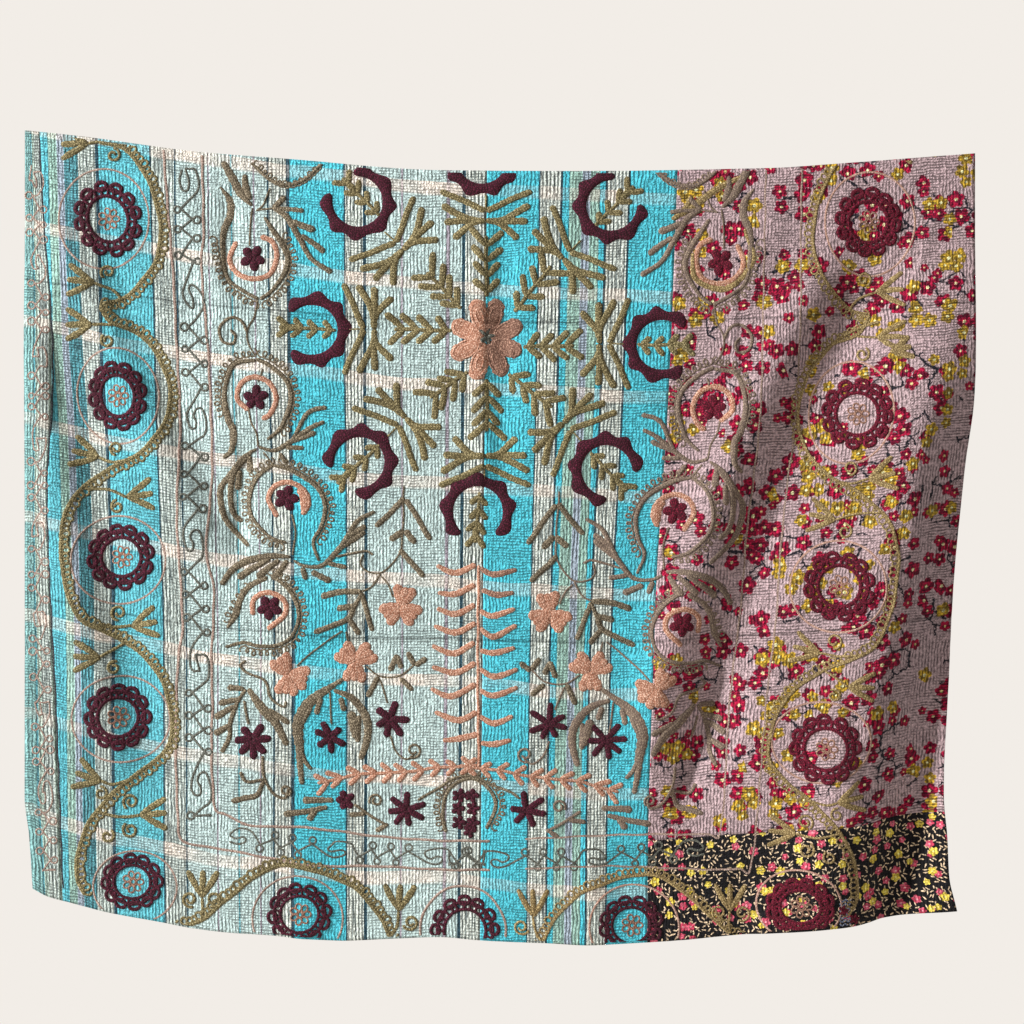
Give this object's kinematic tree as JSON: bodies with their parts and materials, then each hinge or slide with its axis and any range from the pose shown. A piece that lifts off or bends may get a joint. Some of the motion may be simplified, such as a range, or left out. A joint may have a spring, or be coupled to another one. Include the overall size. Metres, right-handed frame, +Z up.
{
  "type": "hanging quilt",
  "caption": "Old striped and printed quilt with chain-stitch flowers and vines, hung by its sagging top edge with slanting folds and a free lower edge.",
  "frame": {"origin": "middle of the held top edge, on the front face", "axes": "+X to the viewer's right along the top edge, +Z up, the embroidered front faces -Y"},
  "size_m": [2.138, 0.0971, 1.8319],
  "materials": {
    "striped_cotton_strip": "faded woven cotton, quilted",
    "striped_cotton_left": "faded woven cotton, quilted",
    "striped_cotton_right": "faded woven cotton, quilted",
    "mauve_print": "printed cotton, quilted",
    "black_print": "printed cotton, quilted"
  },
  "bodies": {
    "root": {"left_strip": "striped_cotton_strip", "striped_left_half": "striped_cotton_left", "striped_right_half": "striped_cotton_right", "mauve_panel": "mauve_print", "black_panel": "black_print"}
  },
  "joints": []
}
